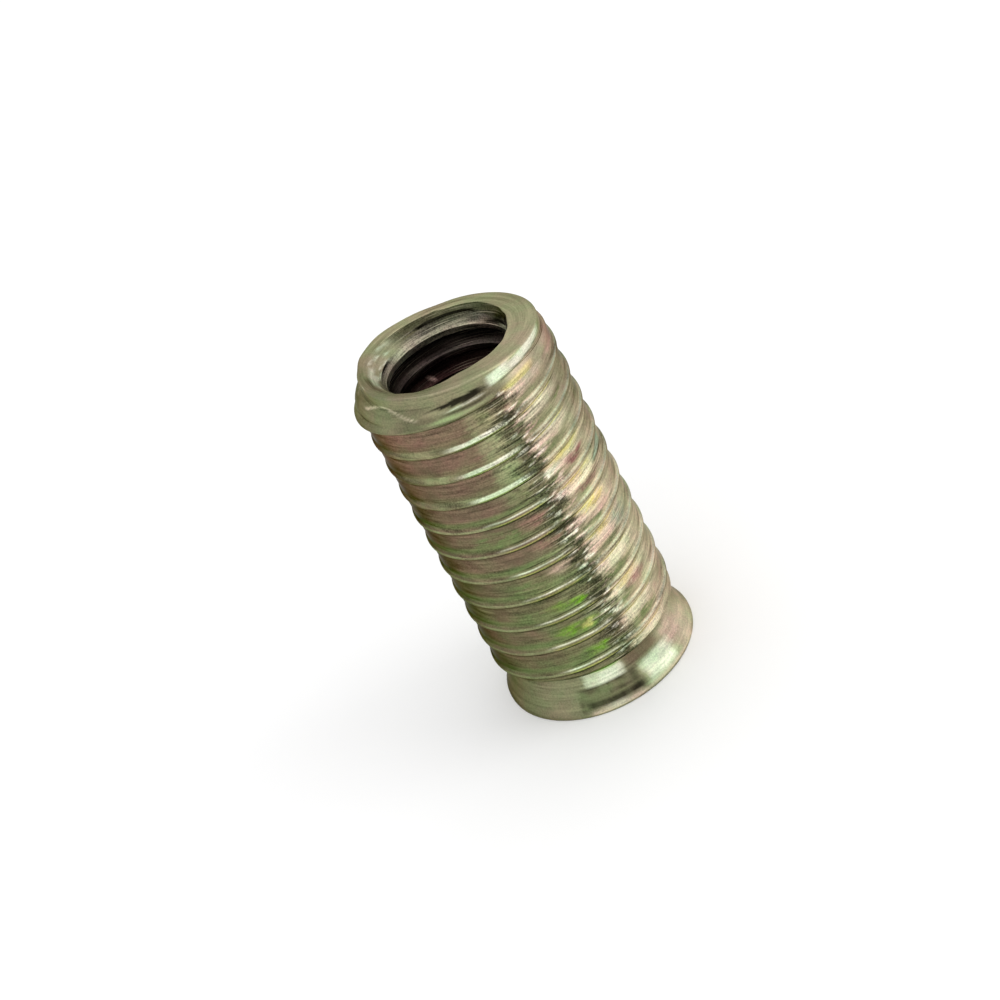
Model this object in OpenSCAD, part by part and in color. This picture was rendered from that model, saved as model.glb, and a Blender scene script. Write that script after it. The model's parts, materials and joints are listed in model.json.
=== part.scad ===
// Threaded insert: a plated steel sleeve with a coarse rolled thread outside,
// a tapped bore, and a flared flange at its foot. It stands on the flange.

/* [Sleeve] */
// Height of the end face's centre above the base
length = 21; // [14:0.05:40]
// Thickness of the sleeve from the bore to the crests of the outside ridges
wall = 1.925; // [1.5:0.005:4]

/* [Outside thread] */
// Axial distance from one ridge to the next
thread_pitch = 1.695; // [1.2:0.005:2.4]
// Height of the ridges above the sleeve's plain surface
ridge_h = 0.12; // [0.05:0.01:0.25]
// Width of a ridge's flat crest
crest_w = 0.12; // [0.05:0.01:0.3]
// Width of the flank on the end face's side
upper_flank = 0.2; // [0.1:0.01:0.4]
// Width of the flank on the flange's side
lower_flank = 0.15; // [0.1:0.01:0.4]
// Angle at which a crest would cross the base plane
thread_clock = 293.4; // [0:0.2:360]

/* [Thread start] */
// Height by which the last ridge is swollen above the others
swell_rise = 0.14; // [0:0.01:0.3]
// Angle of the swollen ridge's middle
swell_angle = 190; // [0:1:360]
// Angle over which the swelling comes and goes
swell_span = 130; // [40:5:200]

/* [Flange] */
// Height of the flange from the base to the neck
flange_h = 2; // [1.2:0.05:5]
// Height of the upright lip at the foot of the flare
lip_h = 0.2; // [0.15:0.05:0.8]
// How far the flange stands out past the ridges
flange_rise = 0.13; // [0:0.01:1]
// Hollow of the flare at its middle
flare_hollow = 0.05; // [0:0.01:0.15]
// Rounding of the lip's lower edge
lip_round = 0.06; // [0.03:0.01:0.18]
// Depth of the neck groove below the ridges
neck_depth = 0.65; // [0.3:0.01:0.8]
// Width of the neck groove's floor
neck_w = 0.25; // [0.1:0.05:1]
// Height over which the thread rises out of the neck
run_out_h = 0.55; // [0.4:0.05:2]
// Width of the flat step where the thread ends, at the neck and at the turned end
end_step = 0.05; // [0.02:0.01:0.1]

/* [Turned end] */
// Step of the turned end below the ridges
pilot_step = 0.4; // [0.38:0.01:0.7]
// Height of the turned end's upright side
pilot_h = 0.65; // [0.3:0.05:1]
// Height of the sloped lead-in below it
lead_in_h = 0.9; // [0.5:0.05:2]
// Rounding of the end face's rim
rim_round = 0.14; // [0.05:0.01:0.25]
// Slant of the end face, which was cut off out of square
end_slant = 5.5; // [0:0.1:7]
// Angle of the end face's low side
slant_angle = 34; // [0:1:360]
// Run-out of the turned end towards its low side
end_offset = 0.2; // [0:0.01:0.2]

/* [Bore] */
// Diameter of the bore over the inside thread's crests
bore_d = 6.65; // [4:0.05:12]
// Radial width of the countersink at the end face
mouth_flare = 0.62; // [0.2:0.01:0.7]
// Radial width of the countersink at the base
base_flare = 0.5; // [0.2:0.01:0.7]

/* [Hidden] */

// Flat facets round one turn
turn_steps = 40;
// Strips of the plain surface between two ridges
plain_strips = 3;
// Points along an arc of the turned outlines
arc_steps = 6;
// Segments of the round shapes
$fn = 96;
// Overlap that lets a cut pass clear through a face
over = 2;
// Depth by which the neck and the turned end reach into the thread's flat ends
seat = 0.1;

bore_r = bore_d / 2;
crest_r = bore_r + wall;
flange_r = crest_r + flange_rise;
neck_r = crest_r - neck_depth;
pilot_r = crest_r - pilot_step;
neck_top = flange_h + neck_w;
// Places of a ridge's two feet, measured up from the middle of its crest
lower_foot = -crest_w / 2 - lower_flank;
upper_foot = crest_w / 2 + upper_flank;
plain_w = thread_pitch - upper_foot + lower_foot;
// Rows of the thread's grid, from a ridge's lower foot to the next ridge
rows = concat(
    [lower_foot, -crest_w / 2, crest_w / 2],
    [for (k = [0 : plain_strips - 1]) upper_foot + plain_w * k / plain_strips]
);
row_count = len(rows);
// The rod of thread runs past both ends, and is then cut to length
first_turn = floor(neck_top / thread_pitch) - 2;
last_turn = ceil((length + over) / thread_pitch) + 1;
columns = (last_turn - first_turn) * turn_steps;
// Turn of the helix that the swelling lies on: the last ridge below the turned end
swell_turn = floor((length - pilot_h) / thread_pitch - (swell_angle - thread_clock) / 360);

// Share of the ridge's height at a place up from the middle of its crest
function ridge_share(g) =
    let (off = g > 0 ? (g - crest_w / 2) / upper_flank : (-g - crest_w / 2) / lower_flank)
    1 - min(1, max(0, off));
// Share of the swelling at an angle along the helix
function swell_share(a) =
    let (off = abs(a - swell_angle - 360 * swell_turn) / swell_span)
    off < 0.5 ? pow(cos(180 * off), 2) : 0;
// Radius of the full thread at an angle along the helix and a place on the ridge
function thread_r(a, g) =
    crest_r - ridge_h + (ridge_h + swell_rise * swell_share(a)) * ridge_share(g);
// Radius of the sloped run-out above the neck
function run_out_r(z) =
    neck_r + end_step + (z - neck_top) * (neck_depth - end_step) / run_out_h;
// Depth of a point of the thread below the slanted end face
function end_depth(a, z) =
    (length - z) * cos(end_slant)
    - (crest_r * cos(a - slant_angle) - end_offset) * sin(end_slant);
// Radius of the sloped lead-in below the turned end
function lead_in_r(a, z) =
    pilot_r + end_step + end_offset * cos(a - slant_angle)
    + (end_depth(a, z) - pilot_h) * (pilot_step + swell_rise) / lead_in_h;
// Angle along the helix at a column of the grid
function column_angle(i) = thread_clock + 360 * first_turn + 360 * i / turn_steps;
// Point of the thread at a column and a place on the ridge
function thread_point(i, g) =
    let (a = column_angle(i), z = thread_pitch * (a - thread_clock) / 360 + g)
    let (r = max(bore_r, min(thread_r(a, g), run_out_r(z), lead_in_r(a, z))))
    [r * cos(a), r * sin(a), z];

// Solid rod with the rolled thread, its grid laid along the helix
module threaded_rod() {
    // A column's last point is the first point of the same place one turn on
    function id(i, j) = j < row_count ? i * row_count + j : id(i + turn_steps, 0);
    points = [for (i = [0 : columns], g = rows) thread_point(i, g)];
    low = len(points);
    high = low + 1;
    poles = [[0, 0, thread_pitch * (first_turn - 1)], [0, 0, thread_pitch * (last_turn + 1)]];
    last = columns - turn_steps;
    skin = [
        for (i = [0 : last - 1], j = [0 : row_count - 1], half = [0, 1])
            half == 0
                ? [id(i, j), id(i, j + 1), id(i + 1, j + 1)]
                : [id(i, j), id(i + 1, j + 1), id(i + 1, j)]
    ];
    foot = concat(
        [for (i = [0 : turn_steps - 1]) [low, id(i, 0), id(i + 1, 0)]],
        [for (j = [0 : row_count - 1]) [low, id(0, j + 1), id(0, j)]]
    );
    head = concat(
        [for (i = [last : columns - 1]) [high, id(i + 1, 0), id(i, 0)]],
        [for (j = [0 : row_count - 1]) [high, id(last, j), id(last, j + 1)]]
    );
    polyhedron(concat(points, poles), concat(skin, foot, head));
}

// Places its children with the origin at the centre of the slanted end face
module at_end() {
    rotate([0, 0, slant_angle])
        translate([end_offset, 0, length])
            rotate([0, end_slant, 0])
                children();
}

// Thread cut flat above the neck and below the turned end
module cut_thread() {
    side = 4 * crest_r;
    intersection() {
        threaded_rod();
        translate([-side / 2, -side / 2, neck_top])
            cube([side, side, length]);
        at_end()
            translate([-side / 2, -side / 2, -pilot_h - length])
                cube([side, side, length]);
    }
}

// Turned end above the thread, with its rounded rim
module turned_end() {
    foot = -pilot_h - seat;
    at_end()
        rotate_extrude()
            polygon(concat(
                [[0, 0]],
                [for (k = [0 : arc_steps])
                    let (t = 90 * k / arc_steps)
                    [pilot_r - rim_round * (1 - sin(t)), -rim_round * (1 - cos(t))]],
                [[pilot_r, foot], [0, foot]]
            ));
}

// Flared foot with its lip, and the neck that carries the thread
module flange() {
    fall = flange_r - neck_r;
    rise = flange_h - lip_h;
    rotate_extrude()
        polygon(concat(
            [[0, 0]],
            [for (k = [0 : arc_steps])
                let (t = 90 * k / arc_steps)
                [flange_r - lip_round * (1 - sin(t)), lip_round * (1 - cos(t))]],
            [for (k = [0 : arc_steps])
                let (t = k / arc_steps, hollow = flare_hollow * 4 * t * (1 - t))
                [flange_r - fall * t - hollow, lip_h + rise * t]],
            [[neck_r, neck_top + seat], [0, neck_top + seat]]
        ));
}

// Through bore with a countersink at each end
module bore() {
    translate([0, 0, -over])
        cylinder(r = bore_r, h = length + 2 * over);
    translate([0, 0, length - mouth_flare])
        cylinder(r1 = bore_r, r2 = bore_r + mouth_flare + over, h = mouth_flare + over);
    translate([0, 0, -over])
        cylinder(r1 = bore_r + base_flare + over, r2 = bore_r, h = base_flare + over);
}

module insert() {
    color([0.60, 0.58, 0.42])
        difference() {
            union() {
                cut_thread();
                turned_end();
                flange();
            }
            bore();
        }
}

insert();
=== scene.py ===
"""Threaded insert: a plated steel sleeve with a thread outside and inside, and its studio stage."""

import json
import math

import bmesh
import bpy
import numpy as np
from bpy.props import FloatProperty, FloatVectorProperty, PointerProperty
from mathutils import Matrix, Vector


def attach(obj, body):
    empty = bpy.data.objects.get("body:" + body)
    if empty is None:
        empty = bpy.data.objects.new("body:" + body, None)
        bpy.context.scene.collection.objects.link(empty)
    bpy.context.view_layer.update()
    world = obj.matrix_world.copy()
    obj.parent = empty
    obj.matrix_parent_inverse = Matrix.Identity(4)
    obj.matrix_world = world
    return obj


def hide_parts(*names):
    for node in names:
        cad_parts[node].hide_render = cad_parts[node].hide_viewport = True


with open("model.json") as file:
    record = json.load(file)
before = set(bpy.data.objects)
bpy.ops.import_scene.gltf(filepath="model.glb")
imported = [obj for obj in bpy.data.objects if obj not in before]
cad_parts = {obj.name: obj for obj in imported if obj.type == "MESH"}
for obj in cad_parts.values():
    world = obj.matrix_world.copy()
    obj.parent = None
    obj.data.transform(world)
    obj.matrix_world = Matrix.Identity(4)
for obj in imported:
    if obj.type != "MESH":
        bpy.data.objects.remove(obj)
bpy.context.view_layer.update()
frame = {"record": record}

bl_info = {
    "name": "Threaded insert",
    "version": (1, 0, 0),
    "blender": (4, 5, 0),
    "location": "3D View > Sidebar > Insert",
    "description": "Models a plated threaded insert and its studio stage",
    "category": "Object",
}

MM = 0.001
MOUNT_RADIUS = {m["name"]: m["dims"].get("r_mm", 0) * MM for m in frame["record"]["mounts"]}

# Heights of the rows of points across a ridge, in millimetres above the middle of its crest
RIDGE_ROWS = [
    -0.3, -0.26, -0.22, -0.19, -0.16, -0.13, -0.1, -0.07, -0.04, 0, 0.03, 0.06, 0.09, 0.12, 0.15, 0.18,
    0.21, 0.24, 0.27, 0.31, 0.38, 0.46, 0.54, 0.62, 0.7, 0.78, 0.86, 0.94, 1.02, 1.1, 1.18, 1.26, 1.33,
]
# Shares of a pitch of the inside thread's rows, whose root is at 0 and whose crest is at 0.5
TAP_ROWS = [0, 0.06, 0.08, 0.22, 0.36, 0.385, 0.44, 0.5, 0.56, 0.615, 0.64, 0.78, 0.92, 0.94]
# Points round one turn of each thread
RIDGE_STEPS = 168
TAP_STEPS = 96
# Strips along the flare, and along the rounded edges of the lip and the rim
FLARE_STEPS = 12
LIP_STEPS = 4
RIM_STEPS = 5
# Depths of the rings down the turned end's side, and of those just below the mouth's edge, in millimetres
SIDE_RINGS = (0.53, 0.44, 0.36, 0.28, 0.2)
MOUTH_RINGS = (0.04, 0.12, 0.3)
# Distances from an edge of the rings that hold it crisp, in millimetres
HOLD = 0.03
HOLD_FINE = 0.02
# Heights between which the ridges come down to their full drop, in millimetres
DROP_FROM = 13
DROP_TO = 18.5
# Room for rounding when a point is counted to a ridge, to a turn, or to a cutting plane
ROW_SLACK = 1e-5
TURN_SLACK = 1e-6
CUT_SLACK = 1e-5
# Points closer than this are one, in millimetres
MERGE = 1e-4
# Edges sharper than this stay sharp, in degrees
SMOOTH_ANGLE = 32
# Angles between which the film's marks are placed, in degrees; the far side folds onto them
NEAR_START = 185
NEAR_END = 352
# Radius inside which points just below the end face belong to the mouth, in millimetres
MOUTH_REACH = 4.45
# Cells along each side of a mottled pattern, after which it repeats
MOTTLE_CELLS = 64


def length(name, default, description):
    """A length property in metres, from a default in millimetres."""
    return FloatProperty(
        name=name, description=description, default=default * MM, min=0, precision=5, unit="LENGTH"
    )


def turn(name, default, description):
    """An angle property in radians, from a default in degrees."""
    return FloatProperty(
        name=name, description=description, default=math.radians(default), unit="ROTATION"
    )


def colour(name, default, description):
    """A colour property."""
    return FloatVectorProperty(
        name=name, description=description, default=default, size=3, min=0, max=1, subtype="COLOR"
    )


def amount(name, default, description, high=100):
    """A plain number."""
    return FloatProperty(name=name, description=description, default=default, min=0, max=high)


class INSERT_PG_sizes(bpy.types.PropertyGroup):
    """Sizes of the sleeve."""

    height: length("Length", 21, "Height of the end face's centre above the base")
    crest_r: FloatProperty(
        name="Crest radius", description="Radius over the outside ridges",
        default=MOUNT_RADIUS["outside_thread"], min=0, precision=5, unit="LENGTH",
    )
    bore_r: FloatProperty(
        name="Bore radius", description="Radius over the inside thread's crests",
        default=MOUNT_RADIUS["tapped_bore"], min=0, precision=5, unit="LENGTH",
    )
    pitch: length("Pitch", 1.695, "Distance from one ridge to the next")
    ridge_h: length("Ridge height", 0.12, "Height of the ridges above the plain surface")
    clock: turn("Thread clock", 293.4, "Angle at which a crest would cross the base plane")
    top_drop: length("Top drop", 0.13, "How far the last ridges lie below an even pitch")
    tap_pitch: length("Inside pitch", 1.25, "Pitch of the inside thread")
    tap_depth: length("Inside depth", 0.68, "Depth of the inside thread")
    tap_clock: turn("Inside clock", 326, "Angle at which the inside root would cross the base")
    swell_rise: length("Swelling", 0.18, "Height of the swollen thread start")
    swell_angle: turn("Swelling angle", 190, "Angle of the swelling's middle")
    swell_span: turn("Swelling span", 130, "Angle over which the swelling comes and goes")
    flange_h: length("Flange height", 2, "Height of the flange up to the neck")
    lip_h: length("Lip height", 0.2, "Height of the lip at the foot of the flare")
    flange_rise: length("Flange rise", 0.13, "How far the flange stands out past the ridges")
    flare_hollow: length("Flare hollow", 0.05, "Hollow of the flare at its middle")
    neck_depth: length("Neck depth", 0.65, "Depth of the neck below the ridges")
    neck_w: length("Neck width", 0.25, "Width of the neck's floor")
    run_out_h: length("Run-out height", 0.55, "Height over which the thread leaves the neck")
    end_step: length("End step", 0.05, "Flat step where the thread ends")
    pilot_step: length("Turned step", 0.4, "Step of the turned end below the ridges")
    pilot_h: length("Turned height", 0.65, "Height of the turned end")
    lead_in_h: length("Lead-in height", 0.9, "Height of the sloped lead-in")
    dent_in: length("Dent", 0.19, "How far the turned end is pressed in on the left")
    dent_out: length("Bulge", 0.14, "How far the turned end stands out beside the dent")
    dent_back: length("Back dent", 0.12, "How far the turned end is pressed in at the back")
    dent_fade: length("Dent fade", 0.35, "Height over which the dent fades down the lead-in")
    rim_round: length("Rim rounding", 0.14, "Rounding of the end face's rim")
    lip_round: length("Lip rounding", 0.06, "Rounding of the lip's lower edge")
    end_slant: turn("End slant", 5.5, "Slant of the end face")
    slant_angle: turn("Slant angle", 34, "Angle of the end face's low side")
    end_offset: length("End offset", 0.2, "Run-out of the turned end towards its low side")
    mouth_wide: length("Mouth, far side", 0.82, "Width of the countersink at the far side")
    mouth_tight: length("Mouth, near side", 0.14, "Width of the countersink at the near side")
    base_flare: length("Base flare", 0.5, "Width of the countersink at the base")


def shade(red, green, blue):
    """A colour for a shader, from the levels of 0 to 255 that it shows as."""
    levels = np.array([red, green, blue]) / 255
    return tuple(np.where(levels > 0.04045, ((levels + 0.055) / 1.055) ** 2.4, levels / 12.92).tolist())


class INSERT_PG_finish(bpy.types.PropertyGroup):
    """Colours of the plating, with painted highlights, sheen, reflection and shade among them, and how its
    turning lines catch the light.
    """

    khaki: colour("Khaki", shade(136, 136, 104), "Turned end and the flange")
    face: colour("Face", shade(166, 162, 130), "End face")
    brown: colour("Brown", shade(118, 103, 83), "Film between the ridges")
    russet: colour("Russet", shade(127, 105, 87), "Film between the upper ridges")
    olive: colour("Olive", shade(112, 107, 79), "Film between the lower ridges")
    green: colour("Green", shade(110, 124, 80), "Film just above a ridge")
    leaf: colour("Leaf green", shade(118, 172, 48), "Bright stains low on the front")
    yellow: colour("Yellow", shade(222, 208, 132), "Yellow stains")
    pale: colour("Pale green", shade(158, 172, 124), "Dull sides of the ridges")
    # Painted highlight: the lit upper sides of the ridges, the rim, the flare, the lip and glints
    highlight_white: colour("White", shade(236, 243, 216), "Bright sides of the ridges")
    cream_sheen: colour("Cream", shade(230, 219, 188), "Bright film at the right")
    # Painted sheen of the light at the right, in the film's cream hue; also bright lines and flecks
    pink: colour("Pink", shade(226, 192, 176), "Pink stains")
    mauve: colour("Mauve", shade(150, 106, 100), "Red stains")
    # Teal also paints thin highlight lines on the ridges at the right
    teal: colour("Teal", shade(166, 180, 156), "Rubbed spots")
    tan: colour("Tan", shade(184, 174, 146), "Far right side")
    # Painted sheen of the light at the right, in the film's sand hue
    sand_sheen: colour("Sand", shade(198, 184, 152), "Film at the right of the dark streak")
    # Painted dark reflection: a streak down the front
    dark_reflection: colour("Murk", shade(92, 96, 68), "Dark streak down the front")
    dark: colour("Dark", shade(68, 68, 48), "Dark dashes and lines")
    # Black also paints shade at the feet of the ridges and in the inside thread's grooves
    black: colour("Black", shade(30, 28, 20), "Feet of the ridges")
    steel: colour("Steel", shade(104, 102, 94), "Inside thread")
    # Painted shade deep inside the bore
    bore_shade: colour("Deep", shade(52, 36, 33), "Depth of the bore")
    roughness: amount("Roughness", 0.34, "Roughness of the plating", 1)
    grain: amount("Grain", 0.7, "How far the turning lines stretch the highlights", 1)
    relief: FloatProperty(
        name="Relief", description="Height of the turning lines",
        default=8e-6, min=0, precision=7, unit="LENGTH"
    )


class INSERT_PG_stage(bpy.types.PropertyGroup):
    """Floor, lights and camera."""

    floor: colour("Floor", (0.92, 0.92, 0.92), "Colour of the floor")
    sky: amount("Sky", 0.88, "Strength of the even light from all round")
    key: amount("Key light", 1.0, "Strength of the light at the right")
    top: amount("Top light", 1.0, "Strength of the light overhead")
    front: amount("Front light", 1.0, "Strength of the light behind the camera")
    elevation: turn("Elevation", 32.643, "Camera's height above the horizon")
    roll: turn("Roll", 27.902, "Turn of the camera about its line of sight")
    distance: length("Distance", 126.968, "Distance from the camera to the aim")
    aim_z: length("Aim height", 10.365, "Height of the point that the camera is fitted to")
    shift_right: FloatProperty(
        name="Shift right", description="Sideways shift of the view", default=0.991 * MM, unit="LENGTH"
    )
    shift_up: FloatProperty(
        name="Shift up", description="Upward shift of the view", default=-0.904 * MM, unit="LENGTH"
    )
    lens: FloatProperty(
        name="Lens", description="Focal length on a 36 mm sensor", default=88.38, unit="CAMERA"
    )


def ease(low, high, value):
    """Smooth step from 0 at low to 1 at high."""
    t = np.clip((value - low) / (high - low), 0, 1)
    return t * t * (3 - 2 * t)


def span(low, high, soft, value):
    """1 between two values and 0 outside them, with soft ends."""
    return ease(low - soft, low + soft, value) * (1 - ease(high - soft, high + soft, value))


def polar(points):
    """Angles in degrees, and heights, of points."""
    return np.degrees(np.arctan2(points[:, 1], points[:, 0])), points[:, 2]


def around(radius, angle):
    """Both level coordinates at a radius and an angle in degrees."""
    turned = np.radians(angle)
    return radius * np.cos(turned), radius * np.sin(turned)


class Form:
    """The sleeve's sizes in millimetres and degrees, and the surfaces that follow from them."""

    def __init__(self, sizes):
        for name, kind in sizes.bl_rna.properties.items():
            if kind.type == "FLOAT":
                value = getattr(sizes, name)
                angle = kind.unit == "ROTATION"
                setattr(self, name, math.degrees(value) if angle else value / MM)
        self.flange_r = self.crest_r + self.flange_rise
        self.neck_r = self.crest_r - self.neck_depth
        self.pilot_r = self.crest_r - self.pilot_step
        self.neck_top = self.flange_h + self.neck_w
        slant, low = math.radians(self.end_slant), math.radians(self.slant_angle)
        side = Vector((math.cos(low), math.sin(low), 0))
        self.up = side * math.sin(slant) + Vector((0, 0, math.cos(slant)))
        self.across = side * math.cos(slant) - Vector((0, 0, math.sin(slant)))
        self.along = Vector((-math.sin(low), math.cos(low), 0))
        self.end = side * self.end_offset + Vector((0, 0, self.height))
        turns = (self.height - self.pilot_h) / self.pitch
        self.swell_turn = math.floor(turns - (self.swell_angle - self.clock) / 360)

    def end_depth(self, x, y, z):
        """Depth below the slanted end face."""
        return (self.end.x - x) * self.up.x + (self.end.y - y) * self.up.y + (self.end.z - z) * self.up.z

    def dent(self, angle):
        """How far the turned end stands out of round, or is pressed in where this is below 0."""
        angle = angle % 360
        bulge = self.dent_out * np.exp(-((angle - 123) / 13) ** 2)
        back = self.dent_back * np.exp(-((angle - 82) / 11) ** 2)
        return bulge - back - self.dent_in * ease(145, 165, angle) * (1 - ease(184, 216, angle))

    def drop(self, z):
        """How far a ridge lies below an even pitch."""
        return self.top_drop * ease(DROP_FROM, DROP_TO, z)

    def ridge_place(self, angle, even):
        """Turn of the ridge nearest below a point of an even thread, and the height above its crest."""
        along = (even - RIDGE_ROWS[0] + ROW_SLACK) / self.pitch - (angle - self.clock) / 360
        turns = np.floor(along)
        return turns, (along - turns) * self.pitch + RIDGE_ROWS[0] - ROW_SLACK

    def ridge_share(self, g):
        """Share of a ridge's height across it."""
        places = [-0.24, -0.21, -0.17, -0.1, -0.06, 0, 0.06, 0.1, 0.2, 0.24, 0.28]
        shares = [0, 0.04, 0.28, 0.88, 1, 1.02, 0.97, 0.84, 0.22, 0.06, 0]
        return np.interp(g, places, shares)

    def thread(self, points):
        """Moves the points of a plain helical rod to the rolled thread's surface."""
        angle, z = polar(points)
        turns, g = self.ridge_place(angle, z)
        z = z - self.drop(z)
        reach = angle + 360 * turns
        off = np.abs(reach - self.swell_angle - 360 * self.swell_turn) / self.swell_span
        swell = np.where(off < 0.5, np.cos(np.pi * off) ** 2, 0)
        uneven = 1 + 0.1 * np.sin(np.radians(reach) * 0.83) + 0.08 * np.sin(np.radians(reach) * 2.9 + 1)
        ridge = self.ridge_h * np.minimum(uneven, 1.04) + self.swell_rise * swell
        r = self.crest_r - self.ridge_h + ridge * self.ridge_share(g)
        rise = (self.neck_depth - self.end_step) / self.run_out_h
        run_out = self.neck_r + self.end_step + (z - self.neck_top) * rise
        depth = self.end_depth(*around(self.crest_r, angle), z)
        slope = (self.pilot_step + self.swell_rise) / self.lead_in_h
        lead_in = self.pilot_r + self.end_step + (depth - self.pilot_h) * slope
        lead_in = lead_in + self.end_offset * np.cos(np.radians(angle - self.slant_angle))
        fade = 1 - ease(self.pilot_h, self.pilot_h + self.dent_fade, depth)
        lead_in = lead_in + self.dent(angle) * fade
        r = np.maximum(self.bore_r, np.minimum(r, np.minimum(run_out, lead_in)))
        return np.stack([*around(r, angle), z], 1)

    def tap(self, points):
        """Moves the points of a plain helical tube to the inside thread's surface."""
        angle, z = polar(points)
        along = z / self.tap_pitch - (angle - self.tap_clock) / 360
        share = np.clip(along - np.floor(along + TURN_SLACK), 0, 1)
        places = [0, 0.06, 0.37, 0.39, 0.61, 0.63, 0.94, 1]
        groove = np.interp(share, places, [1, 1, 0.04, 0, 0, 0.04, 1, 1])
        # The countersink lies off the bore's axis, so it is wide at the far side and narrow at the near one
        tight = ease(-125, -85, angle) * (1 - ease(-10, 62, angle))
        flare = self.mouth_wide + (self.mouth_tight - self.mouth_wide) * tight
        rough = 0.02 * np.sin(np.radians(angle) * 7 + 1) + 0.015 * np.sin(np.radians(angle) * 17)
        nick = 0.12 * np.exp(-((angle - 82) / 4) ** 2) - 0.07 * np.exp(-((angle - 73) / 5) ** 2)
        depth = self.end_depth(*around(self.bore_r + flare, angle), z)
        mouth = flare - depth + (rough + nick) * (1 - ease(0, 0.5, depth))
        groove = groove * np.maximum(ease(0.6, 1, depth), span(48, 105, 15, angle))
        foot = self.base_flare - z
        r = self.bore_r + np.maximum(self.tap_depth * groove, np.maximum(mouth, foot))
        return np.stack([*around(r, angle), z], 1)

    def end_ring(self, radius, depth):
        """Gives the place of a point of the end's turned rings, by the point it grew from."""
        centre = self.end - self.up * depth

        def place(point):
            side = point - centre
            angle = math.atan2(side.dot(self.along), side.dot(self.across))
            reach = radius + self.dent(math.degrees(angle) + self.slant_angle)
            return centre + (self.across * math.cos(angle) + self.along * math.sin(angle)) * reach

        return place


def plain_ring(radius, z):
    """Gives the place of a point of a level ring, by the point it grew from."""

    def place(point):
        angle = math.atan2(point.y, point.x)
        return Vector((radius * math.cos(angle), radius * math.sin(angle), z))

    return place


def edit(obj):
    """Goes into edit mode on one object."""
    bpy.ops.object.select_all(action="DESELECT")
    obj.select_set(True)
    bpy.context.view_layer.objects.active = obj
    bpy.ops.object.mode_set(mode="EDIT")


def leave():
    """Goes back to object mode."""
    bpy.ops.object.mode_set(mode="OBJECT")


def screw(name, outline, pitch, turns, steps):
    """Draws an outline point by point and winds it up a helix."""
    bpy.ops.object.select_all(action="DESELECT")
    bpy.ops.mesh.primitive_plane_add(size=1, location=(0, 0, 0))
    obj = bpy.context.object
    obj.name = name
    obj.data.name = name
    bpy.ops.object.mode_set(mode="EDIT")
    bpy.ops.mesh.select_mode(type="VERT")
    bpy.ops.mesh.select_all(action="SELECT")
    bpy.ops.mesh.merge(type="CENTER")
    bpy.ops.transform.translate(value=outline[0])
    for start, stop in zip(outline, outline[1:]):
        step = tuple(b - a for a, b in zip(start, stop))
        bpy.ops.mesh.extrude_vertices_move(TRANSFORM_OT_translate={"value": step})
    leave()
    bpy.ops.object.modifier_add(type="SCREW")
    winding = obj.modifiers[-1]
    winding.axis = "Z"
    winding.angle = 2 * math.pi
    winding.screw_offset = pitch
    winding.iterations = turns
    winding.steps = steps
    winding.render_steps = steps
    bpy.ops.object.modifier_apply(modifier=winding.name)
    edit(obj)
    bpy.ops.mesh.select_all(action="SELECT")
    bpy.ops.mesh.remove_doubles(threshold=MERGE)
    leave()
    return obj


def helix(name, rows, pitch, clock, radius, top, steps):
    """Winds a plain rod with rows at the given heights in each turn, past both ends of the sleeve."""
    start = -pitch * (clock / 360 + 1)
    outline = [(radius, 0, start + row) for row in [*rows, rows[0] + pitch]]
    turns = math.ceil((top - start) / pitch) + 2
    return screw(name, outline, pitch, turns, steps)


def reshape(obj, place):
    """Moves every point of a mesh to where a function puts it."""
    points = np.zeros(len(obj.data.vertices) * 3)
    obj.data.vertices.foreach_get("co", points)
    moved = place(points.reshape(-1, 3))
    obj.data.vertices.foreach_set("co", moved.ravel())
    obj.data.update()


def cut(obj, point, normal, **clear):
    """Cuts a mesh along a plane; clear_inner or clear_outer takes one side away."""
    edit(obj)
    bpy.ops.mesh.select_all(action="SELECT")
    bpy.ops.mesh.bisect(plane_co=point, plane_no=normal, threshold=CUT_SLACK, **clear)
    leave()


def pick_rims(obj, above):
    """Selects the open rims of a mesh above or below its middle height, in edit mode."""
    bpy.ops.mesh.select_mode(type="EDGE")
    bpy.ops.mesh.select_all(action="DESELECT")
    mesh = bmesh.from_edit_mesh(obj.data)
    middle = sum(v.co.z for v in mesh.verts) / len(mesh.verts)
    for edge in mesh.edges:
        if edge.is_boundary and (edge.verts[0].co.z > middle) == above:
            edge.select_set(True)
    bmesh.update_edit_mesh(obj.data)


def grow(obj, above, rings):
    """Extrudes an open rim ring by ring."""
    edit(obj)
    pick_rims(obj, above)
    for place in rings:
        bpy.ops.mesh.extrude_edges_move(TRANSFORM_OT_translate={"value": (0, 0, 0)})
        mesh = bmesh.from_edit_mesh(obj.data)
        for vert in mesh.verts:
            if vert.select:
                vert.co = place(vert.co)
        bmesh.update_edit_mesh(obj.data)
    leave()


def arc(count):
    """Angles of a quarter arc, in radians."""
    return [math.pi / 2 * k / count for k in range(count + 1)]


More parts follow.
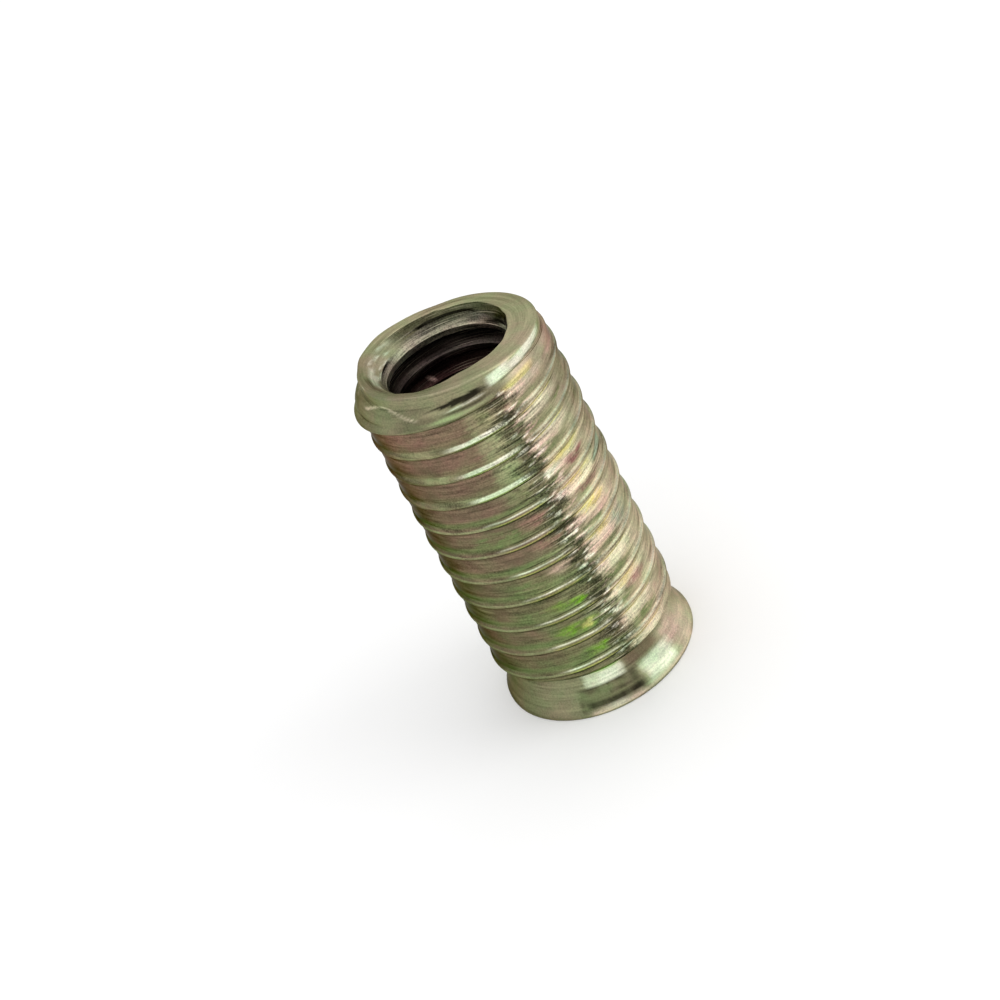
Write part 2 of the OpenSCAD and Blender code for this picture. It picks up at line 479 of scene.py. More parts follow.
def model_outside(form):
    """The rolled thread with the turned end above it and the flange below."""
    rod = helix(
        "insert_sleeve", RIDGE_ROWS, form.pitch, form.clock, form.crest_r, form.height, RIDGE_STEPS
    )
    reshape(rod, form.thread)
    cut(rod, (0, 0, form.neck_top), (0, 0, 1), clear_inner=True)
    cut(rod, form.end - form.up * form.pilot_h, form.up, clear_outer=True)
    fall = form.flange_r - form.neck_r
    rise = form.flange_h - form.lip_h
    low = [
        plain_ring(form.neck_r + HOLD_FINE, form.neck_top),
        plain_ring(form.neck_r, form.neck_top - HOLD),
        plain_ring(form.neck_r, form.flange_h + HOLD),
    ]
    for k in range(FLARE_STEPS + 1):
        t = 1 - k / FLARE_STEPS
        hollow = form.flare_hollow * 4 * t * (1 - t)
        low.append(plain_ring(form.flange_r - fall * t - hollow, form.lip_h + rise * t))
    low.append(plain_ring(form.flange_r, form.lip_h - HOLD))
    low.append(plain_ring(form.flange_r, form.lip_round + HOLD_FINE))
    for t in arc(LIP_STEPS):
        round_r = form.flange_r - form.lip_round * (1 - math.cos(t))
        low.append(plain_ring(round_r, form.lip_round * (1 - math.sin(t))))
    grow(rod, False, low)
    high = [form.end_ring(form.pilot_r + HOLD_FINE, form.pilot_h)]
    for depth in (form.pilot_h - HOLD, *SIDE_RINGS):
        high.append(form.end_ring(form.pilot_r, depth))
    for t in arc(RIM_STEPS):
        round_r = form.pilot_r - form.rim_round * (1 - math.cos(t))
        high.append(form.end_ring(round_r, form.rim_round * (1 - math.sin(t))))
    grow(rod, True, high)
    return rod


def model_inside(form):
    """The tapped bore with its countersinks."""
    rows = [form.tap_pitch * share for share in TAP_ROWS]
    tube = helix("insert_bore", rows, form.tap_pitch, form.tap_clock, form.bore_r, form.height, TAP_STEPS)
    reshape(tube, form.tap)
    cut(tube, (0, 0, 0), (0, 0, 1), clear_inner=True)
    cut(tube, form.end, form.up, clear_outer=True)
    # Rings just below the mouth's edge keep its colours apart
    for depth in MOUTH_RINGS:
        cut(tube, form.end - form.up * depth, form.up)
    return tube


def model_sleeve(form):
    """Outside and inside joined into one closed mesh."""
    sleeve = model_outside(form)
    tube = model_inside(form)
    bpy.ops.object.select_all(action="DESELECT")
    tube.select_set(True)
    sleeve.select_set(True)
    bpy.context.view_layer.objects.active = sleeve
    bpy.ops.object.join()
    edit(sleeve)
    for above in (True, False):
        pick_rims(sleeve, above)
        bpy.ops.mesh.fill(use_beauty=True)
    if any(edge.is_boundary for edge in bmesh.from_edit_mesh(sleeve.data).edges):
        raise RuntimeError("The sleeve's mesh is not closed")
    bpy.ops.mesh.select_all(action="SELECT")
    bpy.ops.mesh.normals_make_consistent(inside=False)
    leave()
    bpy.ops.transform.resize(value=(MM, MM, MM), center_override=(0, 0, 0))
    bpy.ops.object.transform_apply(location=True, rotation=True, scale=True)
    bpy.ops.object.shade_smooth_by_angle(angle=math.radians(SMOOTH_ANGLE))
    return sleeve


# Stains, and painted highlights in the white and cream entries at the right: angle, height, half width in
# degrees, half height, colour and strength
STAINS = (
    (272, 19.4, 4, 0.45, "green", 0.6), (271, 17.7, 6, 0.5, "pale", 0.5), (271, 16, 6, 0.5, "pale", 0.45),
    (271, 14.3, 6, 0.4, "green", 0.7), (248, 12.4, 14, 0.4, "green", 0.8),
    (252, 9, 14, 0.4, "green", 0.8), (272, 12.7, 9, 0.35, "mauve", 0.45),
    (272, 11.2, 8, 0.3, "mauve", 0.45), (271, 9.5, 6, 0.25, "pink", 0.4),
    (272, 7.2, 4, 0.16, "leaf", 0.9), (262, 7.3, 8, 0.25, "leaf", 0.45),
    (245, 7.1, 14, 0.35, "green", 0.7), (265, 5.65, 12, 0.3, "leaf", 0.6),
    (271, 5.65, 3, 0.2, "yellow", 0.7), (268, 3.95, 7, 0.25, "leaf", 1), (258, 3.9, 9, 0.3, "green", 0.8),
    (265, 2.45, 8, 0.16, "leaf", 0.7), (240, 2.5, 14, 0.2, "green", 0.5),
    (300, 19.95, 9, 0.16, "yellow", 0.9), (296, 19.5, 6, 0.22, "pink", 0.6),
    (338, 19.9, 12, 0.5, "pink", 0.5), (303, 18.3, 9, 0.3, "cream_sheen", 0.8),
    (318, 17.6, 5, 0.14, "green", 0.9), (296, 17.5, 9, 0.1, "green", 0.5),
    (303, 16.7, 8, 0.2, "highlight_white", 0.4), (305, 16.3, 10, 0.25, "pink", 0.6),
    (295, 15.85, 14, 0.2, "green", 0.7), (305, 14.95, 12, 0.22, "yellow", 0.7),
    (290, 14.6, 6, 0.1, "highlight_white", 0.9), (305, 14.4, 6, 0.2, "pink", 0.6),
    (310, 14.25, 9, 0.24, "mauve", 0.9), (293, 14.2, 6, 0.2, "green", 0.5),
    (306, 13.3, 10, 0.2, "yellow", 0.6), (289, 13, 5, 0.2, "pink", 0.8),
    (308, 12.5, 13, 0.22, "mauve", 0.6), (305, 11.45, 12, 0.25, "yellow", 0.85),
    (291, 11.2, 5, 0.3, "pink", 0.7), (312, 10.8, 10, 0.12, "pink", 0.6),
    (292, 9.5, 5, 0.35, "pink", 0.8), (305, 9.9, 8, 0.2, "yellow", 0.7), (322, 9.5, 9, 0.4, "teal", 0.6),
    (308, 9.4, 9, 0.2, "pink", 0.4), (305, 8, 13, 0.3, "cream_sheen", 0.7), (298, 7.35, 11, 0.2, "green", 0.8),
    (305, 6.4, 9, 0.25, "yellow", 0.5), (310, 6, 10, 0.25, "mauve", 0.6),
    (297, 5.7, 6, 0.25, "green", 0.8), (305, 4.7, 10, 0.22, "cream_sheen", 0.7),
    (305, 4, 10, 0.2, "green", 0.9), (328, 4.4, 12, 0.4, "mauve", 0.3), (310, 3.1, 9, 0.25, "cream_sheen", 0.6),
    (212, 19, 16, 0.45, "russet", 0.7), (215, 6, 18, 0.5, "brown", 0.6),
    (205, 17.5, 14, 0.4, "russet", 0.5), (208, 4.6, 14, 0.4, "brown", 0.5),
)


def mottle(seed, wide, tall, angle, height):
    """Smooth random figures of 0 to 1 over patches of a given width and height."""
    grid = np.random.default_rng(seed).random((MOTTLE_CELLS, MOTTLE_CELLS))
    u, v = angle / wide, height / tall
    column, row = np.floor(u).astype(int), np.floor(v).astype(int)
    s, t = ease(0, 1, u - column), ease(0, 1, v - row)
    right, above = (column + 1) % MOTTLE_CELLS, (row + 1) % MOTTLE_CELLS
    column, row = column % MOTTLE_CELLS, row % MOTTLE_CELLS
    low = grid[column, row] * (1 - s) + grid[right, row] * s
    high = grid[column, above] * (1 - s) + grid[right, above] * s
    return low * (1 - t) + high * t


class Film:
    """The plating's colour at points of the sleeve, with its painted light and shade, laid on coat by coat.
    """

    def __init__(self, form, finish, points):
        self.finish = finish
        self.form = form
        x, y, self.z = points.T
        self.r = np.hypot(x, y)
        self.depth = form.end_depth(x, y, self.z)
        self.true = polar(points)[0] % 360
        self.g = form.ridge_place(self.true, self.z + form.drop(self.z))[1]
        # The far side repeats the near side's coats, turned round
        turned = np.where(self.true < NEAR_START, self.true + 360, self.true)
        far_end = NEAR_START + 360
        fold = (NEAR_END - NEAR_START) / (far_end - NEAR_END)
        self.angle = np.where(turned > NEAR_END, NEAR_END - (turned - NEAR_END) * fold, turned)
        # Height on the near side that has the same place on its ridge
        self.level = self.z - form.pitch * (turned - self.angle) / 360
        # The far side's marks are fainter
        far = ease(NEAR_END, NEAR_END + 33, turned) * (1 - ease(far_end - 30, far_end, turned))
        self.seen = 1 - 0.85 * far
        self.coat = np.zeros((len(points), 3))
        self.streak = np.zeros(len(points))

    def lay(self, name, weight):
        """Lays a coat of one of the finish's colours."""
        target = np.array(getattr(self.finish, name))
        self.coat += (target - self.coat) * np.clip(weight, 0, 1)[:, None]

    def mark(self, name, weight):
        """Lays a coat that is faint on the far side."""
        self.lay(name, weight * self.seen)

    def dim(self, factor):
        """Darkens the coats so far."""
        self.coat *= factor[:, None]

    def thread(self):
        """Coats of the rolled thread."""
        z, g = self.level, self.g
        ragged = mottle(1, 9, 0.11, self.angle, self.z) - 0.5
        patch = mottle(2, 14, 0.5, self.angle, self.z)
        dash = mottle(3, 6, 0.1, self.angle, self.z)
        a = self.angle + 4 * ragged
        front = span(249, 279, 4, a)
        right = ease(245 + 40 * self.seen, 334 - 40 * self.seen, a)
        left = 1 - ease(242, 258, a)
        upper = ease(13.6, 15.4, z)
        near = span(0.2, 0.55, 0.14, g)
        self.lay("brown", np.ones(len(z)))
        self.lay("russet", 0.8 * ease(14, 17, z))
        self.lay("olive", 0.8 * (1 - ease(7, 12, z)) * (0.6 + 0.4 * patch))
        self.lay("green", 0.85 * near * (1 - right) * (1 - 0.7 * upper))
        self.lay("green", (0.3 * front + 0.25 * left) * (1 - ease(8, 12, z)) * patch * 1.4)
        self.lay("pale", 0.4 * span(262, 278, 3, a) * (0.4 + 0.6 * upper))
        # Painted shade: darker towards the left, away from the light at the right
        self.dim(0.62 + 0.38 * ease(188, 226, a))
        self.dim(1 - 0.22 * left * ease(0.55, 0.8, mottle(12, 7, 0.2, a + 14 * z, z)))
        # The bright zone at the right is painted sheen of the light there, in the film's sand and cream
        # hues
        self.lay("sand_sheen", right)
        self.lay("tan", ease(312, 326, a))
        self.lay("cream_sheen", 0.9 * right * span(0.8, 1.45, 0.2, g) * (1 - ease(312, 326, a)))
        self.lay("cream_sheen", 0.3 * ease(312, 326, a) * (1 - ease(8, 12, z)))
        self.dim(1 - 0.32 * right * ease(13.5, 18, z))
        self.lay("green", 0.6 * right * near * (1 - ease(306, 320, a)) * (0.5 + patch))
        broken = 0.45 + 0.75 * ease(0.3, 0.6, mottle(17, 3, 0.12, a + 6 * z, z))
        for angle, height, width, tall, name, strength in STAINS:
            off = ((a - angle) / width / 1.2) ** 2 + ((z + 0.12 * ragged - height) / tall / 1.25) ** 2
            self.mark(name, strength * (0.65 + 0.7 * dash) * broken * np.exp(-off ** 2))
        # Painted dark reflection down the front, ragged, with painted glints and dark specks in it
        wander = mottle(13, 5, 0.3, self.angle, self.z) - 0.5
        column = span(276, 288, 4, self.angle + 14 * ragged + 8 * wander) * self.seen
        self.lay("dark_reflection", column * (0.5 + 0.7 * dash))
        speck = mottle(4, 4, 0.12, a, z)
        self.mark("dark", 0.6 * span(258, 290, 5, a) * ease(0.7, 0.8, dash) * ease(0.3, 0.4, g))
        self.mark("pink", 0.8 * span(285, 297, 4, a) * ease(0.6, 0.74, speck) * ease(3, 9, z))
        self.mark("highlight_white", 0.7 * span(280, 295, 4, a) * ease(0.7, 0.84, speck))
        self.mark("dark", 0.8 * span(279, 294, 4, a) * (1 - ease(0.18, 0.3, speck)))
        self.mark("dark", 0.3 * span(296, 326, 4, a) * ease(0.66, 0.8, mottle(5, 9, 0.09, a, z)))
        self.ridges(front, right, left, upper)
        self.flake()
        self.streak[:] = 0.3 + 0.25 * patch
        self.streak += (1.1 - self.streak) * np.maximum(column, 0.4 * span(270, 294, 6, a))

    def ridges(self, front, right, left, upper):
        """Coats of the ridges: painted highlights on the upper sides, pale crests, and painted shade at the
        feet.
        """
        a, g = self.angle, self.g + 0.03 * (mottle(6, 8, 0.5, self.angle, self.z) - 0.5)
        patchy = 0.55 + 0.45 * mottle(7, 5, 0.4, a, self.z)
        taper = span(246, 279, 6, a)
        self.lay("pale", 0.7 * left * patchy * patchy * span(-0.16, 0.28, 0.1, g) * upper * ease(185, 235, a))
        self.lay("pale", 0.6 * left * patchy * span(-0.08, 0.08, 0.04, g) * (1 - upper))
        # Painted shade at the feet of the ridges on the left
        self.lay("dark", 0.3 * left * span(-0.26, -0.18, 0.04, g))
        self.lay("pale", 0.8 * front * span(-0.2, 0.15, 0.04, g) * upper)
        # Painted highlights on the upper sides of the ridges at the front
        self.lay("highlight_white", 0.95 * taper * patchy * span(-0.02, 0.16, 0.03, g) * upper)
        self.lay("yellow", 0.45 * front * patchy * span(-0.2, -0.1, 0.03, g) * upper)
        self.lay("olive", 0.7 * front * span(-0.1, -0.05, 0.02, g) * upper)
        self.lay("highlight_white", 0.8 * taper * patchy * span(0.08, 0.14, 0.025, g) * (1 - upper))
        self.lay("yellow", 0.5 * front * patchy * span(-0.11, -0.01, 0.03, g) * (1 - upper))
        self.lay("leaf", 0.3 * front * patchy * span(-0.22, -0.03, 0.03, g))
        # Painted shade at the feet of the ridges at the front
        self.lay("black", 0.85 * front * span(-0.25, -0.19, 0.03, g))
        self.lay("black", 0.85 * span(253, 279, 4, a) * span(0.23, 0.28, 0.025, g) * (1 - upper))
        # Thin painted highlight lines on the upper sides of the ridges at the right
        self.lay("teal", 0.6 * right * patchy * span(0.1, 0.17, 0.025, g))
        self.lay("olive", 0.6 * right * span(-0.02, 0.06, 0.03, g))
        self.lay("yellow", 0.6 * span(292, 318, 4, a) * patchy * span(-0.36, -0.12, 0.06, g))

    def flake(self):
        """A lifted flake of the film on the right, with dark edges."""
        long = span(322, 343, 2, self.angle)
        high = 13.04 + 0.027 * (self.angle - 322)
        edge = np.exp(-((self.z - 12.92) / 0.045) ** 2) + 0.8 * np.exp(-((self.z - high) / 0.04) ** 2)
        self.mark("teal", long * span(12.95, high, 0.03, self.z))
        self.mark("dark", 0.85 * long * edge)

    def ends(self):
        """Coats of the flange and the turned end."""
        ragged = mottle(8, 7, 0.12, self.angle, self.z) - 0.5
        upright = mottle(9, 1.6, 1.5, self.angle, self.z)
        a, z = self.angle + 3 * ragged, self.z + 0.05 * ragged
        foot = 1 - ease(2.25, 2.45, z)
        self.lay("khaki", foot)
        # Painted shade: darker towards the left
        self.lay("olive", 0.6 * foot * (1 - ease(195, 240, a)))
        self.lay("tan", foot * ease(300, 325, a))
        self.mark("brown", 0.95 * foot * span(280, 306, 4, a) * span(1.55, 2.3, 0.1, z))
        # Painted highlight of the light at the right on the flare
        self.mark("pale", 0.85 * span(287, 318, 2, a + 5 * upright) * span(0.25, 1.5, 0.08, z))
        self.mark("highlight_white", 0.75 * span(290, 316, 4, a + 5 * upright) * span(0.35, 1.45, 0.12, z))
        self.mark("pink", 0.6 * span(312, 326, 4, a) * span(0.9, 1.8, 0.2, z))
        # Painted sheen low at the right
        self.lay("cream_sheen", 0.35 * foot * ease(318, 328, a) * (1 - ease(1.2, 1.6, z)))
        self.marks(a, z, upright)
        # All above the foot of the last ridge is turned
        form = self.form
        turns = (self.angle - form.clock) / 360 + form.swell_turn
        last = self.z + form.top_drop - form.pitch * turns
        above = ease(-0.22, -0.12, last) * (self.z > 18) * (1 - ease(280, 288, a))
        top = np.maximum(1 - ease(0.95, 1.2, self.depth), above)
        self.lay("khaki", top)
        self.lay("tan", 0.7 * top * ease(282, 300, a))
        self.rim_marks(a, z)
        self.streak += (0.3 - self.streak) * np.maximum(foot, top)

    def marks(self, a, z, upright):
        """Bright and dark marks on the front of the flange, painted highlights among them."""
        lines = ease(0.3, 0.7, mottle(18, 14, 0.1, a, z))
        block = span(244, 284, 1, a) * span(0.36, 1.42, 0.04, z)
        # Painted highlight on the upper flare at the front
        self.mark("pale", 0.95 * span(250, 277, 2, a) * span(1.5, 2.25, 0.06, z))
        self.mark("highlight_white", 0.55 * span(250, 277, 2, a) * span(1.5, 2.25, 0.06, z))
        self.mark("highlight_white", 0.8 * span(260, 276, 3, a) * span(1.52, 2.22, 0.06, z))
        self.mark("leaf", 0.8 * span(259, 276, 4, a) * span(2.18, 2.5, 0.06, z))
        self.mark("dark", 0.85 * block * (0.2 + upright) * (0.5 + 0.7 * lines))
        self.mark("green", 0.4 * block * (1 - lines))
        self.mark("black", 0.8 * span(248, 283, 2, a) * span(0.42, 0.7, 0.05, z) * (0.3 + 0.9 * upright))
        # Painted highlights along the lip's rounded edge
        self.mark("cream_sheen", 0.9 * span(250, 284, 3, a) * span(0.12, 0.32, 0.05, z))
        self.mark("highlight_white", 0.6 * span(258, 272, 5, a) * span(0.2, 0.34, 0.05, z))
        self.mark("cream_sheen", 0.7 * span(284, 332, 5, a) * span(0.1, 0.26, 0.05, z))

    def rim_marks(self, a, z):
        """Bright and dark marks round the turned end, painted highlights and painted shade in its creases
        among them.
        """
        lens = 0.12 * ease(240, 268, a)
        self.mark("black", 0.95 * span(246, 279, 5, a) * (1 - ease(lens, lens + 0.04, np.abs(z - 20.6))))
        # Painted highlight on a ledge at the front, with painted shade in the crease below it
        self.mark("highlight_white", 0.8 * span(254, 278, 4, a) * span(20.34, 20.4, 0.035, z))
        self.mark("black", 0.75 * span(252, 279, 6, a) * span(20.2, 20.27, 0.04, z))
        self.mark("dark", 0.3 * span(226, 286, 9, a) * span(19.8, 20.4, 0.1, z))
        self.mark("pale", 0.7 * span(240, 280, 9, a) * span(20.02, 20.14, 0.05, z))
        self.mark("yellow", 0.5 * span(289, 312, 5, a) * span(19.85, 20.15, 0.1, z))
        self.mark("pink", 0.5 * span(289, 302, 5, a) * span(19.6, 19.85, 0.1, z))
        self.mark("pink", 0.4 * span(331, 350, 6, a) * span(19.4, 20.1, 0.15, z))
        self.mark("mauve", 0.25 * span(331, 350, 6, a) * span(19.4, 20.1, 0.15, z))
        # Painted highlight along the rounded rim at the right, with painted shade in the crease below it
        self.mark("highlight_white", span(284, 301, 3, a) * span(20.46, 20.96, 0.08, z))
        self.mark("pale", 0.95 * span(299, 342, 6, a) * span(20.38, 20.95, 0.08, z))
        self.mark("highlight_white", 0.85 * span(299, 336, 6, a) * span(20.42, 20.85, 0.08, z))
        self.mark("dark", 0.75 * span(290, 328, 3, a) * span(20.36, 20.44, 0.04, z))
        self.lap()

    def lap(self):
        """Thin bright line where the rolled metal laps over the turned end."""
        z = np.interp(self.angle, [196, 206, 214, 222, 229, 236], [20.6, 20.85, 20.95, 20.75, 20.5, 20.3])
        line = span(194, 236, 3, self.angle) * (self.depth > 0.1)
        self.mark("dark", 0.3 * line * np.exp(-((self.z - z + 0.08) / 0.05) ** 2))
        self.mark("cream_sheen", 0.8 * line * np.exp(-((self.z - z) / 0.045) ** 2))

    def faces(self):
        """Coats of the end face, the base and the bore."""
        form, true = self.form, self.true
        level = np.maximum(1 - ease(0.03, 0.1, self.depth), 1 - ease(0.002, 0.01, self.z))
        self.lay("face", level)
        # Painted shade and light: darker on the left and at the front, lighter at the right
        self.dim(1 - 0.35 * level * span(165, 250, 25, true))
        self.dim(1 - 0.22 * level * span(235, 290, 15, true))
        self.lay("cream_sheen", 0.18 * level * (1 - span(18, 315, 15, true)))
        inside = (self.r < form.bore_r + form.tap_depth + 0.03) & (self.depth > 0.03) & (self.z > 0.01)
        mouth = (self.r < MOUTH_REACH) & (self.depth > 0.01) & (self.depth < 0.9) & (self.z > 15)
        inside = (inside | mouth).astype(float)
        cone = inside * (1 - ease(0.55, 0.75, self.depth))
        crest = 1 - ease(form.bore_r + 0.05, form.bore_r + 0.3, self.r)
        self.lay("steel", inside)
        # Painted shade in the inside thread's grooves
        self.lay("black", 0.85 * inside * (1 - crest) * ease(0.5, 0.8, self.depth))
        self.lay("tan", 0.4 * inside * crest * span(0.5, 1.3, 0.2, self.depth))
        self.lay("face", 0.9 * cone * span(118, 258, 12, true))
        shine = ease(0.5, 0.7, mottle(10, 9, 0.06, true, self.depth))
        self.lay("highlight_white", 0.6 * cone * span(128, 195, 12, true) * shine)
        torn = mottle(11, 12, 0.15, true, self.depth)
        brink = cone * span(0, 118, 12, true) * (1 - ease(0.25, 0.4, self.depth))
        self.lay("dark", brink * (0.6 + 0.5 * torn))
        lines = mottle(16, 50, 0.07, true, self.depth)
        self.lay("dark", 0.85 * cone * span(10, 128, 14, true) * (0.45 + 0.9 * lines))
        # Painted shade deeper down the bore
        self.lay("bore_shade", inside * ease(1.4, 2.6, self.depth))
        self.dim(1 - 0.5 * inside * ease(3, 7, self.depth))
        glint = np.exp(-((true - 110) / 1.4) ** 2 - ((self.z - 17.7) / 0.1) ** 2)
        self.lay("pink", inside * ease(0.2, 0.6, glint))
        self.streak += (0.25 - self.streak) * level
        self.streak += (0.8 - 0.55 * cone * span(118, 258, 12, true) - self.streak) * inside


def paint(sleeve, form, finish):
    """Keeps the film's colour and its painted light and shade on the mesh, with the strength of its streaks
    as its fourth value.
    """
    points = np.zeros(len(sleeve.data.vertices) * 3)
    sleeve.data.vertices.foreach_get("co", points)
    film = Film(form, finish, points.reshape(-1, 3) / MM)
    film.thread()
    film.ends()
    film.faces()
    layer = sleeve.data.color_attributes.new("film", "FLOAT_COLOR", "POINT")
    layer.data.foreach_set("color", np.concatenate([film.coat, film.streak[:, None]], 1).ravel())


class Nodes:
    """Clears a material's or world's nodes and adds new ones, with their inputs linked or set."""

    def __init__(self, owner):
        owner.use_nodes = True
        self.tree = owner.node_tree
        self.tree.nodes.clear()

    def feed(self, socket, value):
        """Links an input to another node's output, or sets its value."""
        if isinstance(value, bpy.types.NodeSocket):
            self.tree.links.new(value, socket)
        else:
            socket.default_value = value

    def add(self, kind, inputs=(), **settings):
        """Adds a node; an input is a value or another node's output."""
        node = self.tree.nodes.new("ShaderNode" + kind)
        for name, value in settings.items():
            setattr(node, name, value)
        for name, value in dict(inputs).items():
            self.feed(node.inputs[name], value)
        return node

    def math(self, operation, first, second=0.0):
        """A sum, product or other figure of two values."""
        return self.add("Math", {0: first, 1: second}, operation=operation).outputs[0]

    def ramp(self, value, low, high, start=0.0, stop=1.0):
        """Maps a value from one range to another."""
        inputs = {"Value": value, "From Min": low, "From Max": high, "To Min": start, "To Max": stop}
        return self.add("MapRange", inputs).outputs[0]

    def blend(self, share, first, second, kind="MIX"):
        """Mixes two colours."""
        # A colour mix has its share and its two colours at these places
        inputs = {0: share, 6: first, 7: second}
        return self.add("Mix", inputs, data_type="RGBA", blend_type=kind).outputs[2]

    def noise(self, vector, scale, detail):
        """A noise figure round 0.5."""
        inputs = {"Vector": vector, "Scale": scale, "Detail": detail, "Roughness": 0.6}
        return self.add("TexNoise", inputs).outputs[0]


def plated(finish):
    """Plated steel: the film's colour with fine turning lines, bright flecks as painted glints, and drifts.
    """
    material = bpy.data.materials.new("plated_steel")
    nodes = Nodes(material)
    place = nodes.add("TexCoord").outputs["Object"]
    axes = nodes.add("SeparateXYZ", {0: place})
    flat = nodes.add("CombineXYZ", {0: axes.outputs[0], 1: axes.outputs[1]}).outputs[0]
    radius = nodes.add("VectorMath", {0: flat}, operation="LENGTH").outputs["Value"]
    across = nodes.math("ADD", axes.outputs[2], radius)
    film = nodes.add("Attribute", attribute_name="film")
    streak = film.outputs["Alpha"]

    def lines(along, over, detail):
        """Noise drawn out round the axis into turning lines."""
        vector = nodes.add("CombineXYZ", {
            0: nodes.math("MULTIPLY", axes.outputs[0], along),
            1: nodes.math("MULTIPLY", axes.outputs[1], along),
            2: nodes.math("MULTIPLY", across, over),
        }).outputs[0]
        return nodes.noise(vector, 1.0, detail)

    fine = lines(300.0, 14000.0, 2.0)
    broad = lines(420.0, 4200.0, 3.0)
    dashes = lines(900.0, 9000.0, 2.0)
    drift = nodes.noise(place, 700.0, 3.0)
    grit = nodes.noise(place, 11000.0, 1.0)
    tint = nodes.blend(nodes.ramp(drift, 0.35, 0.65), (0.95, 1.06, 0.97, 1), (1.12, 1.0, 1.07, 1))
    tone = nodes.blend(1.0, film.outputs["Color"], tint, "MULTIPLY")
    swing = nodes.ramp(fine, 0.25, 0.75, -0.7, 0.7)
    swing = nodes.math("ADD", swing, nodes.ramp(broad, 0.25, 0.75, -0.9, 0.9))
    swing = nodes.math("ADD", swing, nodes.ramp(grit, 0.25, 0.75, -0.6, 0.6))
    torn = nodes.math("MULTIPLY", nodes.ramp(dashes, 0.3, 0.7, -0.8, 0.8), nodes.ramp(streak, 0.8, 1.4))
    swing = nodes.math("ADD", swing, torn)
    level = nodes.math("ADD", nodes.math("MULTIPLY", swing, streak), 1.0)
    level = nodes.math("MAXIMUM", level, 0.4)
    grey = nodes.add("CombineColor", {0: level, 1: level, 2: level}).outputs[0]
    tone = nodes.blend(1.0, tone, grey, "MULTIPLY")
    # Bright flecks toward the cream colour: painted glints
    flecks = nodes.math("MULTIPLY", nodes.ramp(fine, 0.6, 0.72, 0.0, 0.6), nodes.ramp(streak, 0.5, 1.0))
    tone = nodes.blend(flecks, tone, (*finish.cream_sheen, 1))
    height = nodes.math("ADD", fine, nodes.math("MULTIPLY", broad, 0.6))
    height = nodes.math("ADD", height, nodes.math("MULTIPLY", grit, 0.3))
    bump = nodes.add("Bump", {"Height": height, "Distance": finish.relief, "Strength": 0.7})
    tangent = nodes.add("Tangent", direction_type="RADIAL", axis="Z")
    metal = nodes.add("BsdfPrincipled", {
        "Base Color": tone,
        "Metallic": 1.0,
        "Specular Tint": (0.36, 0.35, 0.3, 1),
        "Roughness": nodes.ramp(broad, 0.3, 0.7, finish.roughness - 0.08, finish.roughness + 0.1),
        "Anisotropic": finish.grain,
        "Anisotropic Rotation": 0.25,
        "Normal": bump.outputs[0],
        "Tangent": tangent.outputs[0],
    })
    nodes.add("OutputMaterial", {0: metal.outputs[0]})
    return material


class INSERT_OT_sleeve(bpy.types.Operator):
    """Model the sleeve with its threads, flange and turned end"""

    bl_idname = "insert.sleeve"
    bl_label = "Sleeve"

    def execute(self, context):
        form = Form(context.scene.insert_sizes)
        sleeve = model_sleeve(form)
        finish = context.scene.insert_finish
        paint(sleeve, form, finish)
        sleeve.data.materials.clear()
        sleeve.data.materials.append(plated(finish))
        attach(sleeve, "root")
        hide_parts("insert")
        return {"FINISHED"}


def area_light(name, azimuth, elevation, distance, size, radiance, aim):
    """A rectangular light that looks at a point from an azimuth and elevation, with a given brightness."""
    a, e = math.radians(azimuth), math.radians(elevation)
    way = Vector((math.cos(a) * math.cos(e), math.sin(a) * math.cos(e), math.sin(e)))
    bpy.ops.object.light_add(type="AREA", location=aim + way * distance)
    lamp = bpy.context.object
    lamp.name = name
    lamp.data.shape = "RECTANGLE"
    lamp.data.size, lamp.data.size_y = size
    lamp.data.energy = radiance * math.pi * size[0] * size[1]
    lamp.rotation_mode = "QUATERNION"
    lamp.rotation_quaternion = way.to_track_quat("Z", "Y")


def floor_below(stage):
    """A pale floor that takes the insert's shadow."""
    bpy.ops.object.select_all(action="DESELECT")
    bpy.ops.mesh.primitive_plane_add(size=2, location=(0, 0, 0))
    floor = bpy.context.object
    floor.name = "floor"
    matte = bpy.data.materials.new("floor")
    nodes = Nodes(matte)
    surface = nodes.add("BsdfDiffuse", {"Color": (*stage.floor, 1)})
    nodes.add("OutputMaterial", {0: surface.outputs[0]})
    floor.data.materials.append(matte)


def sky_around(scene, stage):
    """Even light from all round, the same in every colour."""
    scene.world = bpy.data.worlds.new("studio")
    nodes = Nodes(scene.world)
    sky = nodes.add("Background", {"Color": (1, 1, 1, 1), "Strength": stage.sky})
    nodes.add("OutputWorld", {0: sky.outputs[0]})


def camera_at(scene, stage, aim):
    """The camera, rolled so that the standing insert leans in the picture."""
    right = Vector((1, 0, 0))
    rise = Vector((0, math.sin(stage.elevation), math.cos(stage.elevation)))
    ahead = Vector((0, math.cos(stage.elevation), -math.sin(stage.elevation)))
    side = math.cos(stage.roll) * right - math.sin(stage.roll) * rise
    over = math.sin(stage.roll) * right + math.cos(stage.roll) * rise
    place = aim - stage.shift_right * right - stage.shift_up * rise - stage.distance * ahead
    bpy.ops.object.camera_add(location=place)
    camera = bpy.context.object
    camera.name = "camera"
    camera.rotation_mode = "QUATERNION"
    camera.rotation_quaternion = Matrix((side, over, -ahead)).transposed().to_quaternion()
    camera.data.sensor_width = 36
    camera.data.lens = stage.lens
    camera.data.clip_start = 0.01
    camera.data.clip_end = 10
    scene.camera = camera


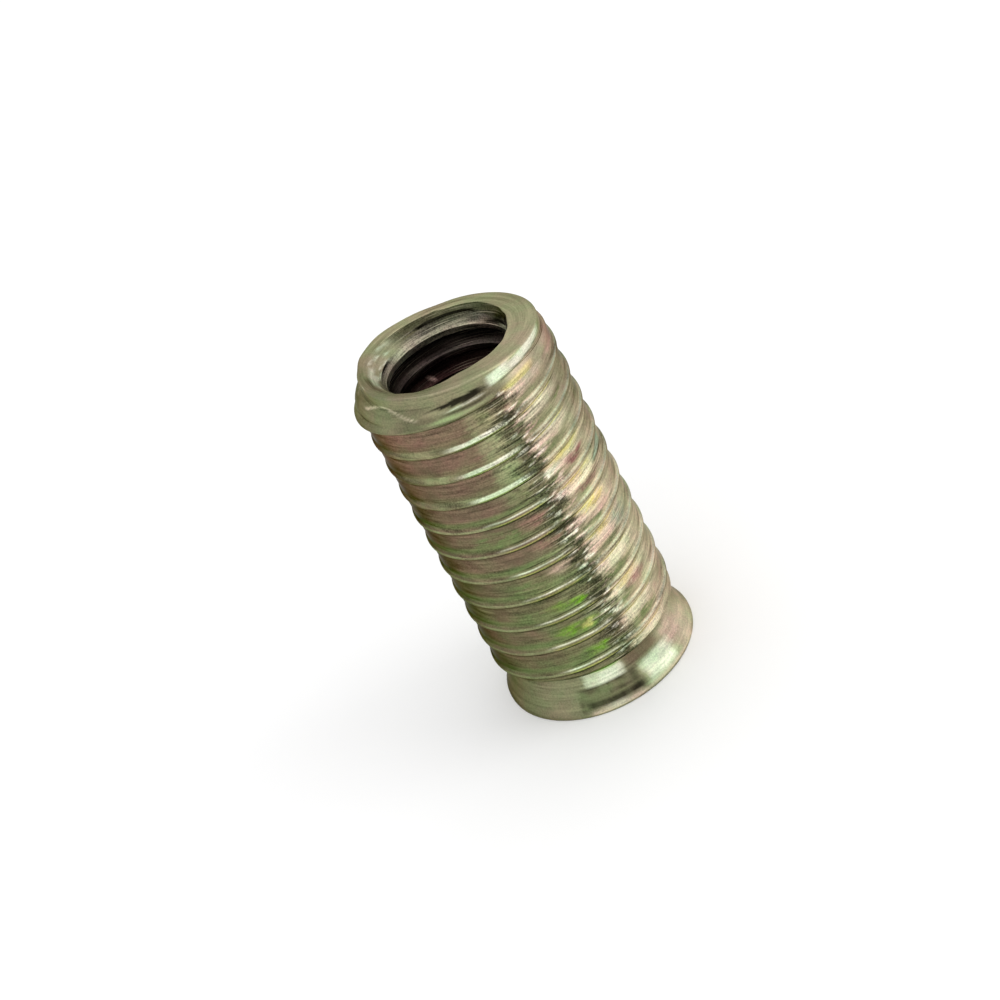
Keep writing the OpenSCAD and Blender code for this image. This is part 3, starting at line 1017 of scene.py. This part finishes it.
class INSERT_OT_stage(bpy.types.Operator):
    """Set up the floor, the lights and the camera"""

    bl_idname = "insert.stage"
    bl_label = "Stage"

    def execute(self, context):
        scene = context.scene
        stage = scene.insert_stage
        floor_below(stage)
        sky_around(scene, stage)
        aim = Vector((0, 0, stage.aim_z))
        area_light("key_light", 342, 42, 0.6, (0.3, 0.5), 1.4 * stage.key, aim)
        area_light("top_light", 90, 75, 0.7, (0.7, 0.6), 0.7 * stage.top, aim)
        area_light("front_light", 245, 50, 0.6, (0.4, 0.3), 0.8 * stage.front, aim)
        camera_at(scene, stage, aim)
        scene.view_settings.view_transform = "Standard"
        return {"FINISHED"}


class INSERT_PT_panel(bpy.types.Panel):
    """Threaded insert"""

    bl_idname = "INSERT_PT_panel"
    bl_label = "Threaded insert"
    bl_space_type = "VIEW_3D"
    bl_region_type = "UI"
    bl_category = "Insert"

    def draw(self, context):
        scene = context.scene
        for group in (scene.insert_sizes, scene.insert_finish, scene.insert_stage):
            box = self.layout.box()
            for name, kind in group.bl_rna.properties.items():
                if kind.type == "FLOAT":
                    box.prop(group, name)
        self.layout.operator("insert.stage")
        self.layout.operator("insert.sleeve")


GROUPS = {
    "insert_sizes": INSERT_PG_sizes,
    "insert_finish": INSERT_PG_finish,
    "insert_stage": INSERT_PG_stage,
}
OTHERS = (INSERT_OT_stage, INSERT_OT_sleeve, INSERT_PT_panel)


def register():
    """Registers the classes and puts the settings on the scene."""
    for name, group in GROUPS.items():
        bpy.utils.register_class(group)
        setattr(bpy.types.Scene, name, PointerProperty(type=group))
    for other in OTHERS:
        bpy.utils.register_class(other)


def unregister():
    """Takes the settings and the classes away again."""
    for other in reversed(OTHERS):
        bpy.utils.unregister_class(other)
    for name, group in reversed(GROUPS.items()):
        delattr(bpy.types.Scene, name)
        bpy.utils.unregister_class(group)


def main():
    """Builds the stage and the sleeve."""
    register()
    bpy.ops.insert.stage()
    bpy.ops.insert.sleeve()


if __name__ == "__main__":
    main()
